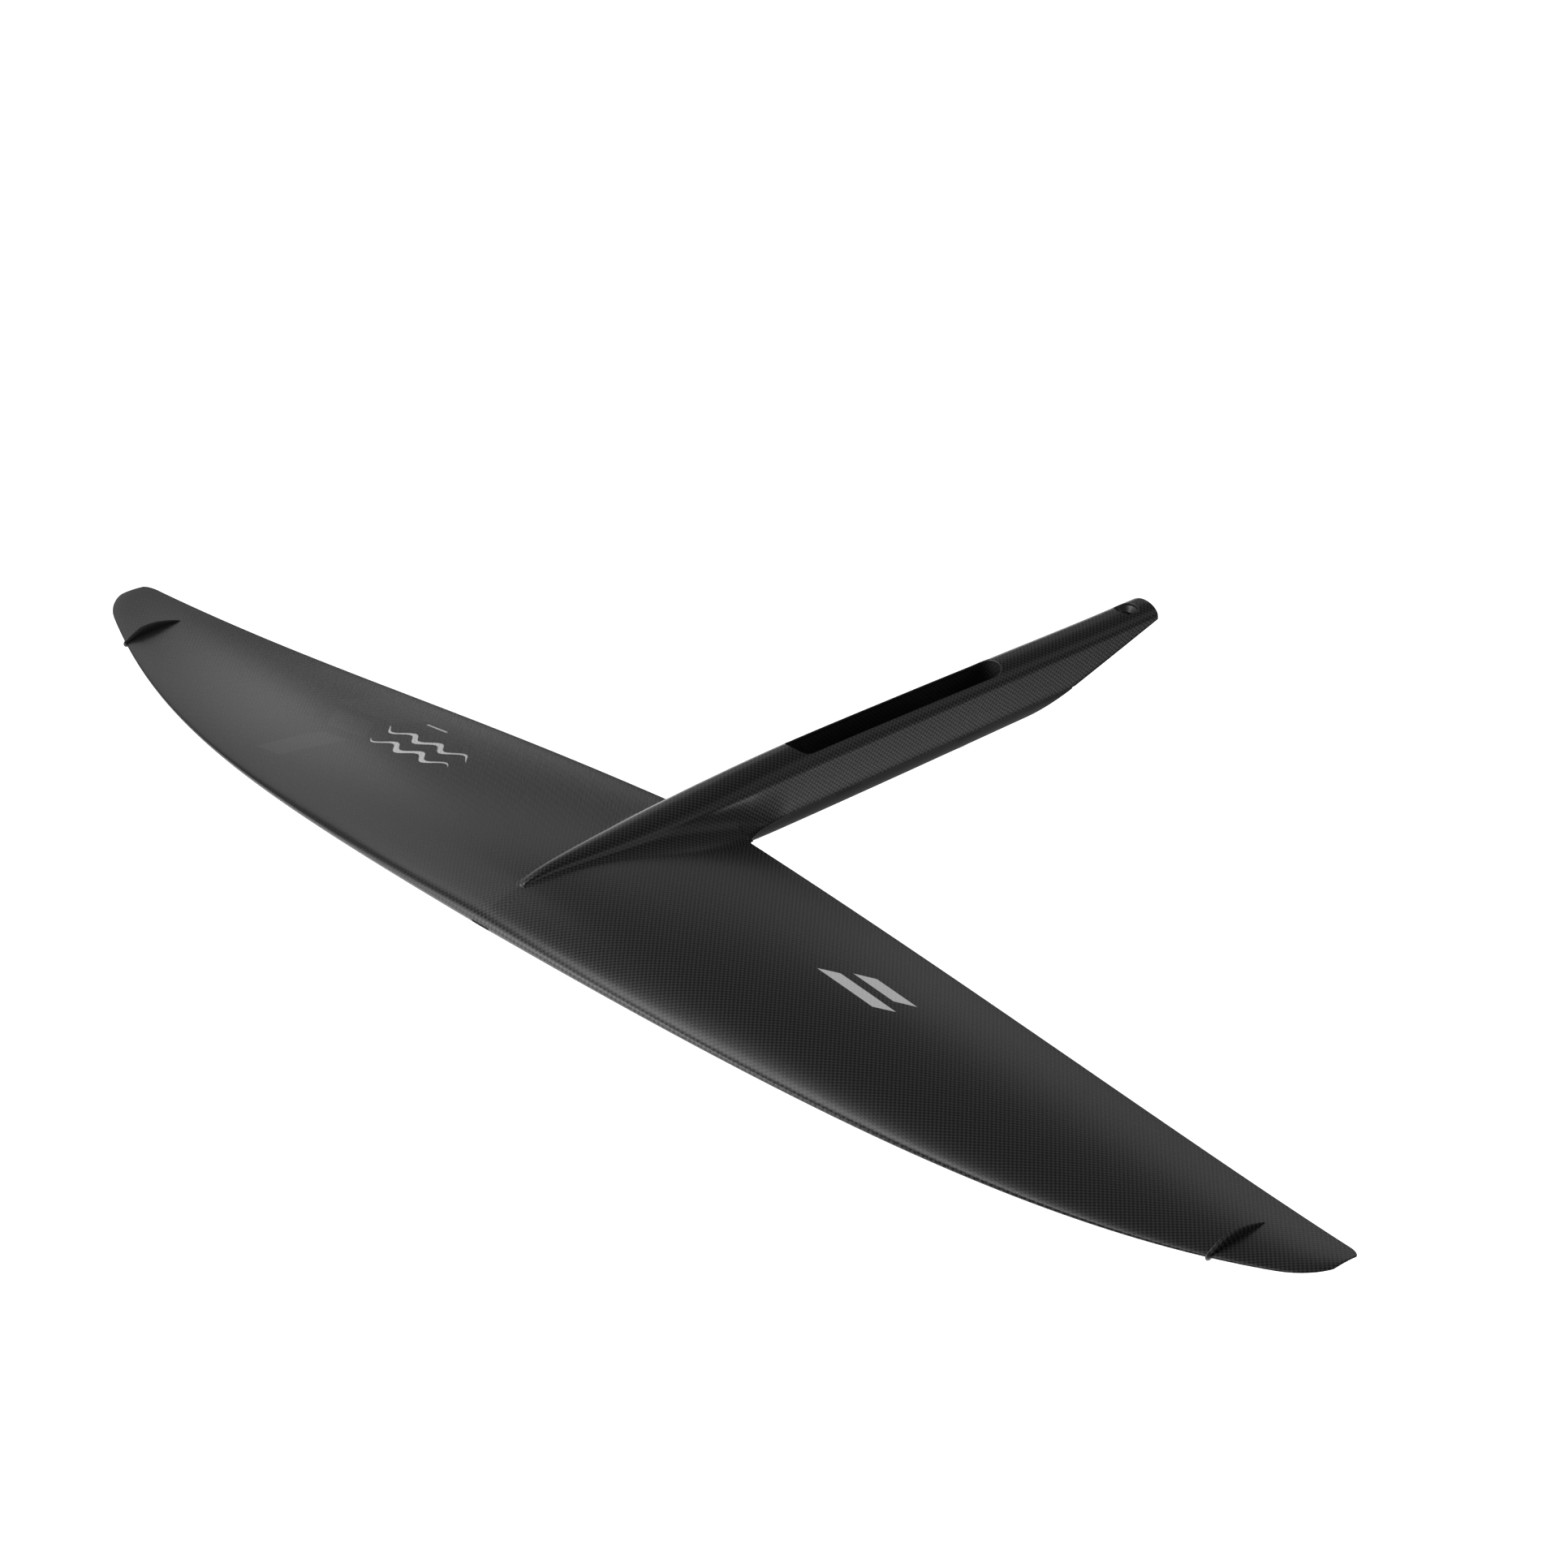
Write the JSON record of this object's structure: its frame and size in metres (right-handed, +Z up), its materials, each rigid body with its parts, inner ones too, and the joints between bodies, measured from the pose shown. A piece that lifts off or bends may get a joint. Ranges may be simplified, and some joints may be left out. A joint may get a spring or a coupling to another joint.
{
  "type": "hydrofoil front wing with fuselage",
  "caption": "Moulded carbon hydrofoil front wing with one-piece fuselage, drooped tips with small fences, a mast socket on top and a flat tail seat for a stabiliser.",
  "frame": {"origin": "centre of the flat floor of the mast socket, in the plane of symmetry", "axes": "+X to the right wing tip, +Y aft along the fuselage to the tail, +Z up out of the mast socket"},
  "size_m": [0.948, 0.483, 0.0567],
  "materials": {
    "carbon_weave": "plain-weave carbon under a satin clear coat",
    "carbon_unidirectional": "unidirectional carbon laminate",
    "solid_laminate": "pressed carbon laminate",
    "core_foam": "closed-cell structural foam",
    "stainless_steel": "turned stainless steel",
    "black_anodised": "black anodised aluminium"
  },
  "bodies": {
    "root": {"upper_skin": "carbon_weave", "lower_skin": "carbon_weave", "spar_cap_upper": "carbon_unidirectional", "spar_cap_lower": "carbon_unidirectional", "shear_web_front": "carbon_unidirectional", "shear_web_rear": "carbon_unidirectional", "spar_core": "core_foam", "core_front_left": "core_foam", "core_front_right": "core_foam", "core_rear_left": "core_foam", "core_rear_right": "core_foam", "tip_fill_left": "solid_laminate", "tip_fill_right": "solid_laminate", "ridge_core": "core_foam", "belly_core": "core_foam", "tail_core": "core_foam", "tail_block": "solid_laminate", "mast_socket": "solid_laminate", "belly_block": "solid_laminate", "mast_bolt_bush_front": "stainless_steel", "mast_bolt_bush_rear": "stainless_steel", "tail_bolt_bush": "black_anodised", "tip_fence_left": "carbon_weave", "tip_fence_right": "carbon_weave"}
  },
  "joints": []
}
